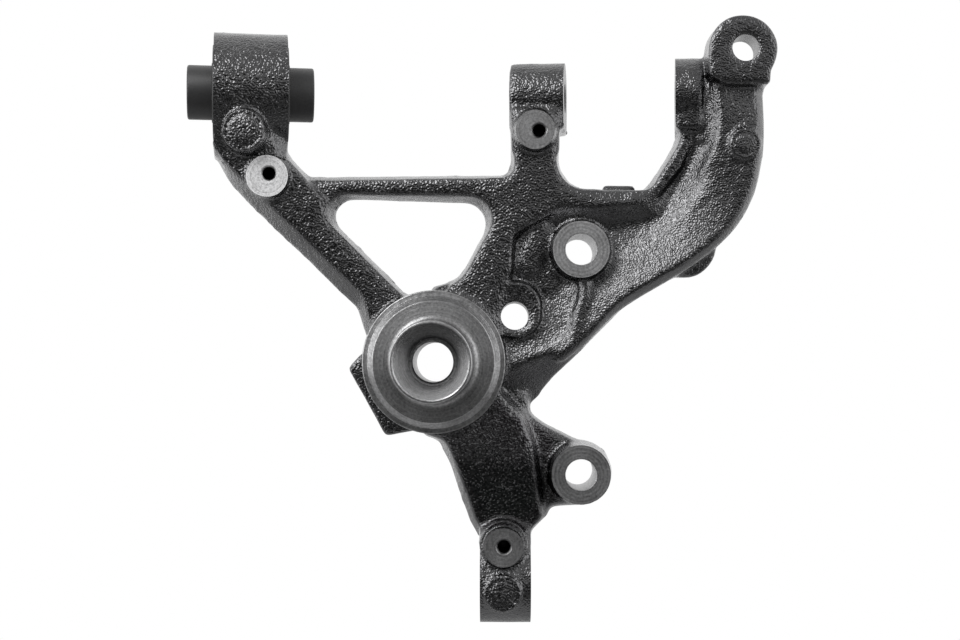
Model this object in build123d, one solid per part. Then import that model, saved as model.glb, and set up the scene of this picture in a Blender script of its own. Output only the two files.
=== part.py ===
from build123d import *
import math
import os

# A rear steering knuckle (wheel carrier): one iron casting with a turned stub axle, machined lugs and
# bosses, and a bonded rubber bush pressed into its upper eye.
# Frame, in mm: the wheel turns about the Y axis and the stub axle points to -Y (outboard). +Z is up and
# +X is to the right when the knuckle is seen from outboard. Y = 0 is the hub shoulder that the wheel
# bearing is clamped against.

# ---- driving dimensions -------------------------------------------------------------------------
PARTING_Y = 17.0          # mid plane of the mould: cast walls narrow from here to both sides
DRAFT = 1.4               # how far a plain cast wall narrows from the parting plane to its face
WINDOW_FLARE = 0.17       # how much the window widens for each mm away from the parting plane

STUB_R = 16.0
STUB_TIP_Y = -26.6
STUB_LIP = 0.7            # rounded lip at the mouth of the stub
RECESS_MOUTH_R = 14.4
RECESS_FLOOR_R = 9.6
RECESS_FLOOR_Y = -4.0
HUB_BORE_R = 8.0
HUB_BORE_CHAMFER = 0.7
ROOT_R = 2.9              # fillet between stub and shoulder
SHOULDER_R = 24.35
SLOPE_R = 26.6
DISC_R = 28.65
DISC_Y = 3.6
DISC_BACK_Y = 9.5
HUB_CAST_R = 27.6
HUB_BACK_Y = 29.0

CALLIPER_X = 58.7
CALLIPER_Z = 44.8
CALLIPER_HOLE_R = 6.2
CALLIPER_BACK_Y = 33.0
CALLIPER_LUG_R = {1: 11.25, -1: 11.75}
CALLIPER_DRAFT = 1.5

SHIELD_TAP_R = 2.5        # M6 tapping size
SHIELD_SINK_R = 3.5
SHIELD_TAP_DEPTH = 16.0
SHIELD_FACE_Y = 0.0
BOSS_R = 7.7
UPPER_LEFT_BOSS = (-66.1, 73.9)
UPPER_LEFT_BOSS_R = 8.25
UPPER_LEFT_TAP = (-65.4, 75.0)
CLEVIS_BOSS = (40.5, 92.4)
CLEVIS_TAP = (42.0, 92.1)
LOWER_BOSS = (27.8, -73.7)
LOWER_BOSS_BASE = (27.9, -72.6)
LOWER_BOSS_BASE_R = 9.2
LOWER_TAP = (28.0, -73.4)

SENSOR_X = 32.4
SENSOR_Z = 18.6
SENSOR_R = 5.65
SENSOR_BOSS = (33.0, 21.0)     # middle of the boss, which is longer upwards than across
SENSOR_BOSS_R = 9.9
SENSOR_BOSS_LONGER = 3.0
SENSOR_FACE_Y = 6.5
SENSOR_LIP = 1.6

EYE = (-75.6, 20.0, 109.8)
EYE_YAW = 9.2             # degrees that the bush axis turns in from the X axis, right end inboard
EYE_R = 24.1
EYE_WIDTH = 29.4
BUSH_R = 19.5
BUSH_WALL = 1.5
BUSH_LENGTH = 30.4
SLEEVE_R = 11.0
SLEEVE_BORE_R = 6.1
SLEEVE_LENGTH = 51.0
RUBBER_LIP = 1.2          # how far the rubber stands out of the eye beside the inner sleeve
RUBBER_LIP_R = 12.6

CLEVIS_Y = 18.0
CLEVIS_YAW = 5.5          # degrees that the clevis bolt turns out from the X axis, right end outboard
CLEVIS_Z = 108.0
CLEVIS_X = 75.5            # middle of the gap between the ears
CLEVIS_NECK_X = (31.0, 50.3)
CLEVIS_BOLT_R = 6.1
CLEVIS_BOLT_X = (20.0, 109.2)  # span of the bolt hole, which ends blind behind the second ear
EAR_1_X = (31.2, 53.6)
EAR_1_R = 14.1
EAR_2_X = (97.7, 108.2)
EAR_2_R = 15.2

FOOT_X = (18.4, 38.8)
FOOT_Y = 18.0
FOOT_Z = -89.4
FOOT_R = 16.5
FOOT_BOLT_R = 6.1

TOP_LUG = (122.3, 123.3)
TOP_LUG_HOLE = (123.2, 123.8)
TOP_LUG_R = 13.5
TOP_LUG_HOLE_R = 5.25
TOP_LUG_Y = (-6.0, 10.0)

DAMPER_BOSS = (101.2, 47.4)
DAMPER_BOSS_R = 13.2
DAMPER_BOSS_Y = (14.0, 36.0)
RIB_AT = (75.2, 25.0, 65.2)
RIB_SIZE = (13.0, 12.0, 14.0)

# cast marking pads, left bare: (x, z), radius, face depth, height down to the casting
EYE_PAD = ((-74.6, 91.3), 6.5, -6.4, 18.0)
FOOT_PAD = ((27.6, -92.1), 5.5, 0.4, 10.0)
ARM_PAD = ((123.5, 86.5), 4.5, -2.9, 8.0)
PAD_RIM = 1.9             # how much wider the pad's base is than its face
PAD_STEP = 0.8            # how far the face stands above that base


# ---- drawing helpers ----------------------------------------------------------------------------
def outboard_plane(y, slope=(0.0, 0.0)):
    """Plane at depth y that faces outboard: its own x and y are the part's X and Z.

    The slope gives how much deeper the plane gets for each mm along X and along Z.
    """
    along_x, along_z = slope
    return Plane(origin=(0, y, 0), x_dir=(1, along_x, 0), z_dir=(along_x, -1, along_z))


def inset(points, distances):
    """Move each side of a counter-clockwise outline inwards by its own distance."""
    moved = []
    count = len(points)
    for i in range(count):
        corner = []
        for side in (i - 1, i):
            ax, az = points[side % count]
            bx, bz = points[(side + 1) % count]
            length = math.hypot(bx - ax, bz - az)
            nx, nz = -(bz - az) / length, (bx - ax) / length
            shift = distances[side % count]
            corner.append((nx, nz, nx * (ax + nx * shift) + nz * (az + nz * shift)))
        (a1, b1, c1), (a2, b2, c2) = corner
        det = a1 * b2 - a2 * b1
        moved.append(((c1 * b2 - c2 * b1) / det, (a1 * c2 - a2 * c1) / det))
    return moved


def section(points, radii, y, slope=(0.0, 0.0)):
    """Closed outline at depth y with its own corner radius at each point."""
    flat = FilletPolyline(*points, radius=radii, close=True)
    return outboard_plane(y, slope) * make_face(flat)


def web(points, radii, front, back, insets=None, slope=(0.0, 0.0)):
    """Cast wall: widest at the parting plane, and narrower at its front and back faces.

    The insets say which sides narrow by more than the plain draft, and the slope tilts the front face.
    """
    sides = [DRAFT] * len(points)
    for side, distance in (insets or {}).items():
        sides[side] = distance
    narrow = inset(points, sides)
    wide = section(points, radii, PARTING_Y)
    outer = loft([wide, section(narrow, radii, front, slope)], ruled=True)
    inner = loft([wide, section(inset(points, [DRAFT] * len(points)), radii, back)], ruled=True)
    return outer + inner


def boss(centre, radius, front, back, flare=0.8):
    """Round boss square to the wheel axis that widens by its flare from front to back."""
    x, z = centre
    length = back - front
    axis_plane = Plane(origin=(x, back, z), x_dir=(1, 0, 0), z_dir=(0, -1, 0))
    cone = Cone(radius + flare, radius, length, align=(Align.CENTER, Align.CENTER, Align.MIN))
    return axis_plane * cone


def drill(centre, radius, start, stop):
    """Cutter for a hole square to the wheel axis between two depths."""
    x, z = centre
    tool_plane = Plane(origin=(x, stop, z), x_dir=(1, 0, 0), z_dir=(0, -1, 0))
    tool = Cylinder(radius, stop - start, align=(Align.CENTER, Align.CENTER, Align.MIN))
    return tool_plane * tool


def barrel(radius, x_from, x_to, y, z):
    """Round bar along X, for a bolt eye or a bolt hole."""
    bar_plane = Plane(origin=(x_from, y, z), x_dir=(0, 1, 0), z_dir=(1, 0, 0))
    return bar_plane * Cylinder(radius, x_to - x_from, align=(Align.CENTER, Align.CENTER, Align.MIN))


# ---- hub and stub axle --------------------------------------------------------------------------
def hub_profile():
    """Half section of the turned hub and stub, as (radius, y) corners."""
    return [
        (0, STUB_TIP_Y),
        (STUB_R - STUB_LIP, STUB_TIP_Y),
        (STUB_R, STUB_TIP_Y + STUB_LIP),
        (STUB_R, -ROOT_R),
        (STUB_R + 0.3 * ROOT_R, -0.3 * ROOT_R),
        (STUB_R + ROOT_R, 0),
        (SHOULDER_R, 0),
        (SLOPE_R, DISC_Y),
        (DISC_R, DISC_Y),
        (DISC_R, DISC_BACK_Y),
        (HUB_CAST_R, DISC_BACK_Y + 1.5),
        (HUB_CAST_R - 1.0, HUB_BACK_Y),
        (0, HUB_BACK_Y),
    ]


def turned(corners):
    """Solid of revolution about the wheel axis."""
    profile = make_face(Polyline(*[(r, y) for r, y in corners], close=True))
    return revolve(profile, axis=Axis.Y)


def hub_bore():
    """Conical recess in the stub and the bolt bore through the hub."""
    over = 1.0
    corners = [
        (0, STUB_TIP_Y - over),
        (RECESS_MOUTH_R + 0.2, STUB_TIP_Y - over),
        (RECESS_MOUTH_R, STUB_TIP_Y),
        (RECESS_FLOOR_R, RECESS_FLOOR_Y),
        (HUB_BORE_R + HUB_BORE_CHAMFER, RECESS_FLOOR_Y),
        (HUB_BORE_R, RECESS_FLOOR_Y + HUB_BORE_CHAMFER),
        (HUB_BORE_R, HUB_BACK_Y + over),
        (0, HUB_BACK_Y + over),
    ]
    return turned(corners)


# ---- cast arms and webs -------------------------------------------------------------------------
def left_arm():
    """Diagonal arm from the hub to the bush eye, with a broad bevel along its lower edge."""
    outline = [
        (-90.6, 85.5), (-83.6, 72.9), (-75.7, 64.3), (-31.8, 21.9),
        (-27.4, 8.0), (-4.0, 8.0), (-4.0, 20.0), (-52.0, 76.0), (-59.6, 84.3), (-59.6, 97.0), (-90.6, 97.0),
    ]
    radii = [8, 10, 10, 7, 3, 3, 3, 6, 4, 3, 3]
    return web(outline, radii, front=8.8, back=26.0, insets={0: 3.2, 1: 5.2, 2: 6.0, 3: 4.5}, slope=(0.035, -0.03))


def top_rib():
    """Straight rib that closes the window between the eye arm and the clevis."""
    outline = [(-60.0, 62.0), (26.0, 60.0), (36.0, 76.2), (-54.0, 75.3)]
    return web(outline, [3, 3, 3, 3], front=6.2, back=25.0, insets={2: 2.6}, slope=(-0.045, 0.0))


def window_cut():
    """Rounded triangular window, narrowest at the parting plane."""
    outline = [(-50.7, 66.6), (-11.5, 27.4), (9.6, 33.6), (26.5, 64.4)]
    radii = [7.0, 3.0, 13.0, 8.9]
    wider = [8.0, 3.5, 14.0, 9.8]
    reach = 21.0
    flare = inset(outline, [-WINDOW_FLARE * reach] * len(outline))
    middle = section(outline, radii, PARTING_Y)
    front = loft([middle, section(flare, wider, PARTING_Y - reach)], ruled=True)
    back = loft([middle, section(flare, wider, PARTING_Y + reach)], ruled=True)
    return front + back


def middle_body():
    """Deep plate that ties the hub, the clevis, the calliper lugs and the right arm together."""
    outline = [
        (-4.0, 26.0), (20.0, -18.0), (39.5, -17.0), (48.5, -5.5), (62.0, 7.2),
        (79.5, 25.0), (96.6, 34.0), (104.0, 40.0), (99.0, 84.0), (85.0, 68.0), (66.0, 69.9),
        (50.3, 70.2), (50.3, 90.0), (31.0, 90.0), (31.0, 75.6), (22.0, 75.3), (14.0, 50.0),
    ]
    radii = [3, 3, 6, 6, 6, 6, 6, 3, 3, 10, 1, 13, 1, 1, 6, 2, 4]
    lower_edge = {side: 9.0 for side in range(1, 7)}
    return web(outline, radii, front=11.5, back=28.0, insets=lower_edge)


def clevis_root():
    """Flat thick patch under the clevis, with the ridge that runs down beside the window."""
    outline = [
        (4.0, 27.0), (10.0, 12.0), (27.0, 14.0), (35.0, 36.0), (35.6, 48.5), (52.0, 57.5), (68.0, 59.0),
        (68.0, 69.8), (50.3, 70.2), (50.3, 92.0), (31.0, 92.0), (31.0, 75.4), (20.0, 75.2), (10.0, 50.0),
    ]
    radii = [2, 3, 3, 5, 5, 5, 2, 1, 13, 1, 1, 5, 2, 4]
    steep = {2: 4.5, 3: 4.5, 4: 4.5, 5: 4.5}
    return web(outline, radii, front=5.0, back=20.0, insets=steep)


def hub_back_flange():
    """Flange behind the hub, with two corners that stand out beside it."""
    outline = [(-35.6, -2.6), (-20.4, -30.2), (24.0, -22.0), (24.0, 20.0), (-30.5, 3.4)]
    return extrude(section(outline, [1.5, 1.5, 4, 4, 2], 19.0), amount=-10.0)


def lower_arm():
    """Tapering arm from the hub down to the foot, with bevelled sides."""
    outline = [
        (-6.0, -24.0), (-4.6, -29.8), (1.6, -31.8), (6.2, -41.6), (14.0, -64.3), (18.4, -71.8), (18.4, -90.0),
        (38.8, -90.0), (38.8, -69.0), (47.0, -61.0), (43.0, -32.0), (38.0, -20.0), (28.0, -9.0), (10.0, -10.0),
    ]
    radii = [1, 2, 5, 10, 8, 5, 1, 1, 4, 5, 4, 4, 3, 4]
    bevels = {2: 3.0, 3: 3.0, 4: 3.0, 9: 4.0, 10: 4.0, 11: 4.0}
    return web(outline, radii, front=1.5, back=27.0, insets=bevels, slope=(0.0, -0.09))


def lug_b_web():
    """Thinner web that carries the lower calliper lug."""
    outline = [
        (30.0, -60.0), (41.0, -64.5), (47.5, -58.8), (59.0, -58.0), (70.0, -52.0), (70.0, -38.0),
        (57.5, -31.3), (45.0, -25.0), (38.8, -20.5), (38.8, -12.0), (30.0, -10.0),
    ]
    radii = [2, 3, 7, 3, 8, 8, 4, 4, 4, 3, 2]
    return web(outline, radii, front=11.0, back=27.0)


def right_arm_stations():
    """Stations along the right arm, from the body round to the top lug.

    Each gives the arm's inner and outer points on the parting plane, the depths of the rim beside the
    clevis gap and of the valley, how far across the arm the inner slope ends and the depth it ends at,
    the depth of the crest, and the width and drop of the bevel along the arm's outer edge.
    """
    return [
        ((12.0, 22.0), (30.5, -20.5), 11.5, 11.0, 0.50, 7.5, 7.5, 21.0, 9.0),
        ((23.0, 23.0), (38.5, -17.0), 11.5, 11.0, 0.56, 6.5, 6.5, 16.0, 10.0),
        ((36.0, 30.0), (48.0, -6.0), 11.5, 10.5, 0.70, 5.6, 5.6, 9.0, 9.0),
        ((50.0, 38.0), (58.0, 3.6), 9.5, 10.5, 0.72, 5.0, 4.0, 3.4, 6.0),
        ((63.0, 57.0), (74.0, 20.2), 9.0, 9.5, 0.55, 6.0, 1.8, 3.0, 5.0),
        ((78.0, 62.0), (92.0, 31.6), 9.0, 9.5, 0.46, 5.6, -0.6, 3.0, 5.0),
        ((94.0, 74.0), (119.6, 52.6), 8.5, 8.5, 0.44, 1.6, -1.8, 3.0, 5.0),
        ((101.0, 88.0), (130.2, 75.0), 6.5, 6.2, 0.45, -0.6, -2.2, 3.0, 5.0),
        ((104.5, 100.0), (131.9, 96.0), 5.5, 4.8, 0.42, -0.8, -1.4, 3.0, 5.0),
        ((107.5, 117.0), (131.5, 112.0), 5.0, 4.6, 0.36, 0.8, 0.4, 3.0, 5.0),
    ]


def arm_section(station):
    """One cross section of the right arm, as a face that stands square to the drawing plane."""
    (ix, iz), (ox, oz), rim, valley, knee_at, knee, crest, bevel, drop = station
    rim_width = 1.0
    valley_at = 0.16
    knee_round = 2.0
    back = 27.0
    across = Vector(ox - ix, 0, oz - iz)
    width = across.length
    profile = [
        (0.0, PARTING_Y),
        (rim_width, rim),
        (valley_at * width, valley),
        (knee_at * width - knee_round, knee + 0.6 * knee_round),
        (knee_at * width, knee),
        (width - bevel, crest),
        (width, crest + drop),
        (width, PARTING_Y),
        (width - DRAFT, back),
        (DRAFT, back),
    ]
    corners = [Vector(ix, depth, iz) + across.normalized() * distance for distance, depth in profile]
    return make_face(Polyline(*corners, close=True))


def right_arm():
    """Curved arm with a raised outer rail, lofted through its sections."""
    return loft([arm_section(station) for station in right_arm_stations()], ruled=False)


def clevis_rim():
    """Narrow rail that runs round the clevis gap up to the second ear, bevelled on both sides."""
    outline = [
        (56.0, 58.0), (80.0, 59.5), (91.5, 64.5), (101.5, 76.0), (107.0, 90.0), (108.4, 100.0),
        (98.2, 100.0), (97.7, 89.0), (84.5, 67.6), (64.0, 69.8),
    ]
    radii = [1.0, 10.0, 10.0, 14.0, 10.0, 0.6, 0.6, 12.0, 12.0, 0.6]
    bevels = {0: 3.2, 1: 3.2, 2: 3.2, 3: 3.2, 4: 3.2, 8: 3.4}
    return web(outline, radii, front=4.8, back=27.0, insets=bevels)


def pocket_ridge():
    """Short round-ended ridge in the pocket beside the upper calliper lug."""
    lower, upper = (37.6, 38.6), (43.6, 51.0)
    length = math.hypot(upper[0] - lower[0], upper[1] - lower[1])
    angle = math.degrees(math.atan2(upper[1] - lower[1], upper[0] - lower[0]))
    slot = SlotCenterToCenter(length, 9.0, rotation=angle)
    middle = ((lower[0] + upper[0]) / 2, (lower[1] + upper[1]) / 2)
    return extrude(outboard_plane(8.2) * Pos(*middle) * slot, amount=-8.0)


def top_lug():
    """Flat round lug at the end of the right arm."""
    x, z = TOP_LUG
    front, back = TOP_LUG_Y
    length = back - front
    disc = boss(TOP_LUG, TOP_LUG_R, front, back, flare=0.3)
    shank_outline = [(x - 13.9, z - 1.0), (x - 13.0, 113.0), (115.0, 109.4), (133.0, 109.4), (133.0, 122.5), (x, z)]
    shank = extrude(section(shank_outline, [1, 2, 2, 1.5, 2, 1], back), amount=length)
    return disc + shank


# ---- eyes and lugs ------------------------------------------------------------------------------
def eye_frame():
    """Plane at the bush centre whose z axis is the bush axis."""
    yaw = math.radians(EYE_YAW)
    return Plane(origin=EYE, x_dir=(-math.sin(yaw), math.cos(yaw), 0), z_dir=(math.cos(yaw), math.sin(yaw), 0))


def neck_bevel():
    """Cutter for the slanted corner where the arm runs up into the right side of the eye."""
    face = Plane(origin=(-66.9, 2.7, 93.0), x_dir=(0.7, 0.7, 0), z_dir=(0.70, -0.68, 0.20))
    block = Box(40.0, 16.0, 12.0, align=(Align.CENTER, Align.CENTER, Align.MIN))
    return face * Pos(0, -4.0, 0) * block


def bush_eye():
    """Round eye, with straight sides that run down into the arm."""
    ring = eye_frame() * Cylinder(EYE_R, EYE_WIDTH)
    neck_outline = [(-18.5, -16.0), (-15.0, -24.5), (-9.0, -27.0), (6.0, -27.0), (19.0, -15.0)]
    neck = extrude(make_face(Polyline(*neck_outline, close=True)), amount=EYE_WIDTH / 2, both=True)
    return ring + (eye_frame() * neck - neck_bevel())


def clevis_frame(x):
    """Plane on the clevis bolt's axis at distance x along X from the hub, its z axis along the bolt."""
    yaw = math.radians(CLEVIS_YAW)
    along = x - CLEVIS_X
    origin = (x, CLEVIS_Y - along * math.tan(yaw), CLEVIS_Z)
    return Plane(origin=origin, x_dir=(math.sin(yaw), math.cos(yaw), 0), z_dir=(math.cos(yaw), -math.sin(yaw), 0))


def clevis_ears():
    """The two ears that hold the upper link bolt."""
    ears = None
    for (left, right), radius, drop in ((EAR_1_X, EAR_1_R, 14.0), (EAR_2_X, EAR_2_R, 15.0)):
        place = clevis_frame((left + right) / 2)
        ring = Cylinder(radius, right - left)
        stem = Box(1.75 * radius, drop, right - left, align=(Align.CENTER, Align.MAX, Align.CENTER))
        ear = place * (ring + stem)
        ears = ear if ears is None else ears + ear
    neck = Pos((CLEVIS_NECK_X[0] + CLEVIS_NECK_X[1]) / 2, CLEVIS_Y, 93.0)
    return ears + neck * Box(CLEVIS_NECK_X[1] - CLEVIS_NECK_X[0], 23.0, 18.0)


def foot():
    """Eye at the lower end for the lower link bolt."""
    eye = barrel(FOOT_R, *FOOT_X, FOOT_Y, FOOT_Z)
    middle = (FOOT_X[0] + FOOT_X[1]) / 2
    shank = Pos(middle, FOOT_Y, -78.0) * Box(FOOT_X[1] - FOOT_X[0], 24.0, 24.0)
    return eye + shank


def calliper_lugs():
    """Two long round lugs that the brake calliper bolts to."""
    lugs = None
    for side in (1, -1):
        centre = (CALLIPER_X, side * CALLIPER_Z)
        radius = CALLIPER_LUG_R[side]
        front = boss(centre, radius, 0.0, PARTING_Y, CALLIPER_DRAFT)
        back = boss(centre, radius + CALLIPER_DRAFT, PARTING_Y, CALLIPER_BACK_Y, -CALLIPER_DRAFT)
        lugs = front + back if lugs is None else lugs + front + back
    return lugs


def shield_bosses():
    """Three faced bosses for the brake shield screws."""
    upper_left = boss(UPPER_LEFT_BOSS, UPPER_LEFT_BOSS_R, SHIELD_FACE_Y, 20.0, flare=1.6)
    clevis = boss(CLEVIS_BOSS, BOSS_R, SHIELD_FACE_Y, 12.0, flare=2.2)
    lower = boss(LOWER_BOSS, BOSS_R, SHIELD_FACE_Y, 8.0, flare=1.0)
    lower_base = boss(LOWER_BOSS_BASE, LOWER_BOSS_BASE_R, SHIELD_FACE_Y + 2.6, 10.0, flare=0.8)
    return upper_left + clevis + lower + lower_base


def sensor_boss():
    """Oval boss for the wheel speed sensor, with a low lip round its face."""
    def oval(radius, front, back):
        slot = SlotCenterToCenter(SENSOR_BOSS_LONGER, 2 * radius, rotation=90)
        return extrude(outboard_plane(back) * Pos(*SENSOR_BOSS) * slot, amount=back - front)

    body = oval(SENSOR_BOSS_R, SENSOR_FACE_Y - 1.0, 29.0)
    return body - oval(SENSOR_BOSS_R - SENSOR_LIP, SENSOR_FACE_Y - 2.0, SENSOR_FACE_Y)


def marking_pads():
    """Three bare round pads, each a low disc on a wider base."""
    pads = None
    for centre, radius, face_y, height in (EYE_PAD, FOOT_PAD, ARM_PAD):
        base = boss(centre, radius + PAD_RIM, face_y + PAD_STEP, face_y + height, flare=0.6)
        pad = base + boss(centre, radius, face_y, face_y + 2 * PAD_STEP, flare=0.2)
        pads = pad if pads is None else pads + pad
    return pads


def back_features():
    """What peeps out from behind: the damper boss, the rib above it and the hub flange."""
    damper = boss(DAMPER_BOSS, DAMPER_BOSS_R, *DAMPER_BOSS_Y, flare=-1.0)
    rib = Pos(*RIB_AT) * Box(*RIB_SIZE)
    return damper + rib + hub_back_flange()


def blank():
    """The whole casting before it is machined."""
    body = left_arm() - neck_bevel()
    body = body + top_rib() + middle_body() + clevis_root()
    body = body - window_cut() + pocket_ridge()
    body = body + turned(hub_profile())
    body = body + lower_arm() + lug_b_web()
    body = body + right_arm() + clevis_rim() + top_lug()
    body = body + bush_eye() + clevis_ears() + foot()
    body = body + calliper_lugs() + shield_bosses() + sensor_boss() + marking_pads() + back_features()
    return body


def tapped_hole(centre):
    """Cutter for one blind M6 tapping hole with its countersink."""
    x, z = centre
    hole = drill(centre, SHIELD_TAP_R, SHIELD_FACE_Y - 1.0, SHIELD_FACE_Y + SHIELD_TAP_DEPTH)
    sink_depth = SHIELD_SINK_R - SHIELD_TAP_R
    sink_plane = Plane(origin=(x, SHIELD_FACE_Y + sink_depth, z), x_dir=(1, 0, 0), z_dir=(0, -1, 0))
    sink = sink_plane * Cone(SHIELD_TAP_R, SHIELD_SINK_R + 0.5, sink_depth + 0.5,
                             align=(Align.CENTER, Align.CENTER, Align.MIN))
    return hole + sink


def machining():
    """Every cut that is made after casting."""
    cuts = hub_bore()
    for side in (1, -1):
        cuts = cuts + drill((CALLIPER_X, side * CALLIPER_Z), CALLIPER_HOLE_R, -5.0, 45.0)
    for centre in (UPPER_LEFT_TAP, CLEVIS_TAP, LOWER_TAP):
        cuts = cuts + tapped_hole(centre)
    cuts = cuts + drill((SENSOR_X, SENSOR_Z), SENSOR_R, -5.0, 45.0)
    cuts = cuts + drill(TOP_LUG_HOLE, TOP_LUG_HOLE_R, -20.0, 30.0)
    bolt_from, bolt_to = CLEVIS_BOLT_X
    cuts = cuts + clevis_frame((bolt_from + bolt_to) / 2) * Cylinder(CLEVIS_BOLT_R, bolt_to - bolt_from)
    cuts = cuts + barrel(FOOT_BOLT_R, 10.0, 50.0, FOOT_Y, FOOT_Z)
    cuts = cuts + eye_frame() * Cylinder(BUSH_R, EYE_WIDTH + 60.0)
    return cuts


def knuckle_casting():
    return blank() - machining()


# ---- bush ---------------------------------------------------------------------------------------
def bush_outer_sleeve():
    """Steel shell of the bush, pressed into the eye."""
    return eye_frame() * (Cylinder(BUSH_R, BUSH_LENGTH) - Cylinder(BUSH_R - BUSH_WALL, BUSH_LENGTH + 2))


def bush_rubber():
    """Rubber bonded between the two sleeves, with a raised lip at each end."""
    half = BUSH_LENGTH / 2 - 1.0
    lip = EYE_WIDTH / 2 + RUBBER_LIP
    outer = BUSH_R - BUSH_WALL
    corners = [
        (SLEEVE_R, -lip), (RUBBER_LIP_R, -lip), (RUBBER_LIP_R + 0.8, -half), (outer, -half),
        (outer, half), (RUBBER_LIP_R + 0.8, half), (RUBBER_LIP_R, lip), (SLEEVE_R, lip),
    ]
    profile = Plane.XZ * make_face(Polyline(*corners, close=True))
    return eye_frame() * revolve(profile, axis=Axis.Z)


def bush_inner_sleeve():
    """Thick inner sleeve that the link bolt clamps."""
    tube = Cylinder(SLEEVE_R, SLEEVE_LENGTH) - Cylinder(SLEEVE_BORE_R, SLEEVE_LENGTH + 2)
    return eye_frame() * tube


NODES = {
    "knuckle_casting": knuckle_casting,
    "bush_outer_sleeve": bush_outer_sleeve,
    "bush_rubber": bush_rubber,
    "bush_inner_sleeve": bush_inner_sleeve,
}

os.makedirs("parts", exist_ok=True)
for name, make in NODES.items():
    shape = make()
    export_step(shape, f"parts/{name}.step")
    print(name, f"{shape.volume / 1000:.1f} cm3", shape.bounding_box())
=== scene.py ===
# %% [markdown]
# A rear steering knuckle is one iron casting that is machined only where something is bolted to it.
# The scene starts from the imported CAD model, which fixes every size and every hole. The box round
# that model is kept at once, because the finished scene has to stay inside it.

import math
from collections import namedtuple

import bmesh
import bpy
import numpy as np
import openvdb
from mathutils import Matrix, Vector


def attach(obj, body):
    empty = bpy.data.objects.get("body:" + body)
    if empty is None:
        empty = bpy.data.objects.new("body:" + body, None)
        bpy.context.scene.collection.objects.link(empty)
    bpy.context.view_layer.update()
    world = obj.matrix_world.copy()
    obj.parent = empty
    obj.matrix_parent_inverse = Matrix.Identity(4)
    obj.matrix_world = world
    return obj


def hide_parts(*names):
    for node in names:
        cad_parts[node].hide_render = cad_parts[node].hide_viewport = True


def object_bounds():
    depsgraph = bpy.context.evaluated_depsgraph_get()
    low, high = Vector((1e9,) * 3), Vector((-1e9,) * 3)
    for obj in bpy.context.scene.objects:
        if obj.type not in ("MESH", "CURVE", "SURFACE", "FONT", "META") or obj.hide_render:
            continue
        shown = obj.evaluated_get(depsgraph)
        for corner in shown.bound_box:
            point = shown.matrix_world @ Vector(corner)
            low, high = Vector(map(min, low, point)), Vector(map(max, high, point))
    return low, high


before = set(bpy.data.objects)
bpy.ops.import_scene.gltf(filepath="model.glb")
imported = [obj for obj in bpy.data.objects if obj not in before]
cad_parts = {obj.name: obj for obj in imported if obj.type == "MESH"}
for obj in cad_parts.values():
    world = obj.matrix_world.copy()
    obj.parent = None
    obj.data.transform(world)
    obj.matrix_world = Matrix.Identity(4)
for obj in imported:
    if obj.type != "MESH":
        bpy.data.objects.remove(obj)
cad_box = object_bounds()
print("CAD box", [[round(float(c), 4) for c in corner] for corner in cad_box])

# %% [markdown]
# The shapes are measured in millimetres on the knuckle's own axes, and become metres as they are put
# into a mesh. The wheel turns about Y, the stub axle points to -Y, and Y = 0 is the shoulder that
# the wheel bearing is clamped against. All five bosses are milled level with that shoulder. The
# link bolts run nearly along X, so each of them is given by a point on its axis and the axis's turn
# about Z in degrees.

# %% Machined places
MM = 0.001
FACE_Y = 0.0
STUB_RADIUS, STUB_TIP = 16.0, -26.6
HUB_BORE = 8.0
Boss = namedtuple("Boss", "x z radius hole_radius hole_end tone")
BOSSES = {
    # place, radius as cast, radius and inner end of the hole, brightness of the milled metal, which is
    # painted light
    "calliper_upper": Boss(58.7, 44.8, 11.25, 6.2, 45.0, 0.46),
    "calliper_lower": Boss(58.7, -44.8, 11.75, 6.2, 45.0, 0.40),
    "shield_eye_arm": Boss(-66.1, 73.9, 8.25, 2.5, 16.0, 0.90),
    "shield_clevis": Boss(40.5, 92.4, 7.7, 2.5, 16.0, 0.42),
    "shield_lower": Boss(27.8, -73.7, 7.7, 2.5, 16.0, 0.40),
}
# The shield bosses are tapped, a little off their middle, at (x, z).
TAPPED = {"shield_eye_arm": (-65.4, 75.0), "shield_clevis": (42.0, 92.1), "shield_lower": (28.0, -73.4)}
Hole = namedtuple("Hole", "x z radius")
SENSOR, TOP_LUG = Hole(32.4, 18.6, 5.65), Hole(123.2, 123.8, 5.25)
Axis = namedtuple("Axis", "point turn")
EYE = Axis((-75.6, 20.0, 109.8), 9.2)
CLEVIS = Axis((75.5, 18.0, 108.0), -5.5)
FOOT = Axis((28.6, 18.0, -89.4), 0.0)
EYE_HALF, EYE_BORE = 14.7, 19.5
EAR_1, EAR_2 = (22.5, 44.0), (22.3, 32.9)      # inner and outer end of each ear, from the gap's middle
FOOT_HALF = 10.2
LINK_HOLE = 6.1
print(len(BOSSES), "milled bosses,", len(TAPPED), "of them tapped")

# %% [markdown]
# A casting shows no sharp edge. Molten iron fills a sand mould whose corners are rounded, so every
# inner corner is a fillet and every outer corner a soft round. Bevelling edge by edge would fail
# where the arms run into each other. Instead the model is turned into a distance field, a grid of
# numbers that says how far each point is from the surface, negative inside the iron. That field can
# be added to, cut and blurred with plain array arithmetic.

# %% The casting as a distance field
VOXEL = 0.8
GRID_LOW, GRID_HIGH = (-110.0, -34.0, -115.0), (145.0, 55.0, 146.0)     # 7 to 9 mm clear of the CAD box
LOW_CELL = np.floor(np.array(GRID_LOW) / VOXEL).astype(int)
HIGH_CELL = np.ceil(np.array(GRID_HIGH) / VOXEL).astype(int)


def read(items, name, width=1, kind=np.float32):
    """One property of a mesh's items as an array, with a row for each item."""
    values = np.empty(len(items) * width, kind)
    items.foreach_get(name, values)
    return values.reshape(-1, width) if width > 1 else values


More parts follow.
